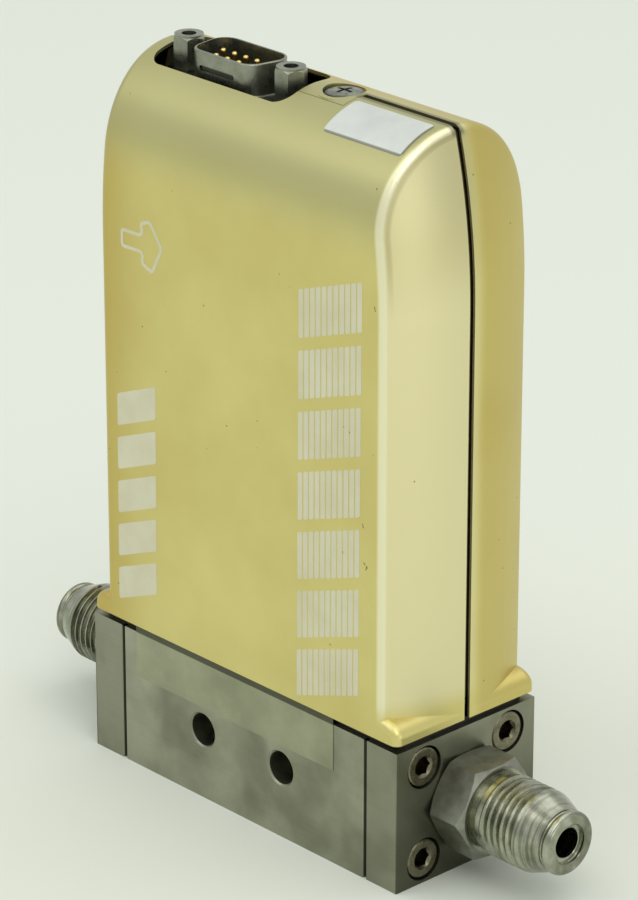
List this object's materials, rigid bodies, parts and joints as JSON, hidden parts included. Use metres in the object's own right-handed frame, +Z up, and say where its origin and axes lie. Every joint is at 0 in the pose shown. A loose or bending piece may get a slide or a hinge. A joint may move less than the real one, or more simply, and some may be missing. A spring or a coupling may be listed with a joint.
{
  "type": "mass flow controller",
  "caption": "Thermal gas flow controller: steel base block with a face-seal fitting on each end, arched gold cover and a D-type connector in its top.",
  "frame": {"origin": "centre of the base's underside", "axes": "+X along the gas flow towards the outlet, +Y to the rear, +Z up"},
  "size_m": [0.124, 0.0322, 0.1303],
  "materials": {
    "block_steel": "ground",
    "end_block_steel": "ground",
    "fitting_steel": "turned",
    "screw_steel": "satin",
    "inner_steel": "satin",
    "cover_gold": "satin gold anodised",
    "gasket_rubber": "matt",
    "seal_rubber": "matt",
    "connector_steel": "tinned",
    "connector_plastic": "matt",
    "contact_gold": "gold plated",
    "sticker_silver": "satin silver film",
    "tape_film": "satin clear film",
    "board_laminate": "solder mask",
    "chip_resin": "matt",
    "trimmer_plastic": "gloss",
    "capacitor_can": "sleeved",
    "winding_copper": "enamelled wire",
    "chassis_sheet": "mill finish",
    "stack_ceramic": "lacquered",
    "cover_screw_zinc": "zinc plated"
  },
  "bodies": {
    "root": {"main_block": "block_steel", "inlet_end_block": "end_block_steel", "outlet_end_block": "end_block_steel", "inlet_fitting": "fitting_steel", "outlet_fitting": "fitting_steel", "inlet_block_screws": "screw_steel", "outlet_block_screws": "screw_steel", "inlet_block_seal": "seal_rubber", "outlet_block_seal": "seal_rubber", "inlet_fitting_seal": "seal_rubber", "outlet_fitting_seal": "seal_rubber", "bypass_element": "inner_steel", "bypass_retainer": "inner_steel", "inlet_filter": "inner_steel", "sensor_base": "inner_steel", "sensor_tube": "inner_steel", "sensor_windings": "winding_copper", "sensor_cover": "chassis_sheet", "sensor_screws": "screw_steel", "sensor_port_seals": "seal_rubber", "valve_seat": "inner_steel", "valve_spacer_ring": "inner_steel", "valve_diaphragm": "inner_steel", "valve_base": "inner_steel", "valve_plunger": "inner_steel", "valve_screws": "screw_steel", "actuator_housing": "inner_steel", "stack_pads": "inner_steel", "actuator_stack": "stack_ceramic", "adjusting_screw": "inner_steel", "lock_nut": "inner_steel", "chassis": "chassis_sheet", "chassis_screws": "screw_steel", "cover_screw_post": "inner_steel", "connector_shell": "connector_steel", "connector_insulator": "connector_plastic", "connector_pins": "contact_gold", "jack_posts": "connector_steel", "main_board": "board_laminate", "board_standoffs": "inner_steel", "board_screws": "screw_steel", "board_chips": "chip_resin", "board_trimmers": "trimmer_plastic", "board_capacitors": "capacitor_can", "connector_board": "board_laminate", "front_cover": "cover_gold", "rear_cover": "cover_gold", "cover_screw": "cover_screw_zinc", "cover_gasket": "gasket_rubber", "arch_sticker": "sticker_silver", "block_tape": "tape_film"}
  },
  "joints": []
}
